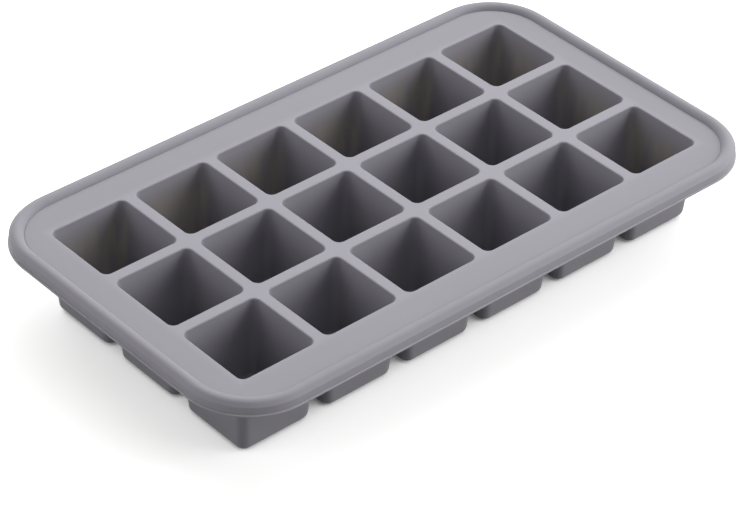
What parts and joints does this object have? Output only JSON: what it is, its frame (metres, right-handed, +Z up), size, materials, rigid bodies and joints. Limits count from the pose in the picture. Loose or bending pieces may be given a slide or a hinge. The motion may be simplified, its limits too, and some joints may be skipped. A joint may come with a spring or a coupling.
{
  "type": "silicone ice cube tray",
  "caption": "Flat silicone tray with a grid of square tapered cups below a rounded plate and a raised rim bead, for freezing water into cubes.",
  "frame": {"origin": "centre of the base, on the level that all cups stand on", "axes": "+X along the long side, +Z up, out of the mouths of the cavities"},
  "size_m": [0.2312, 0.133, 0.0324],
  "materials": {
    "silicone": "matt grey silicone"
  },
  "bodies": {
    "root": {"tray": "silicone"}
  },
  "joints": []
}
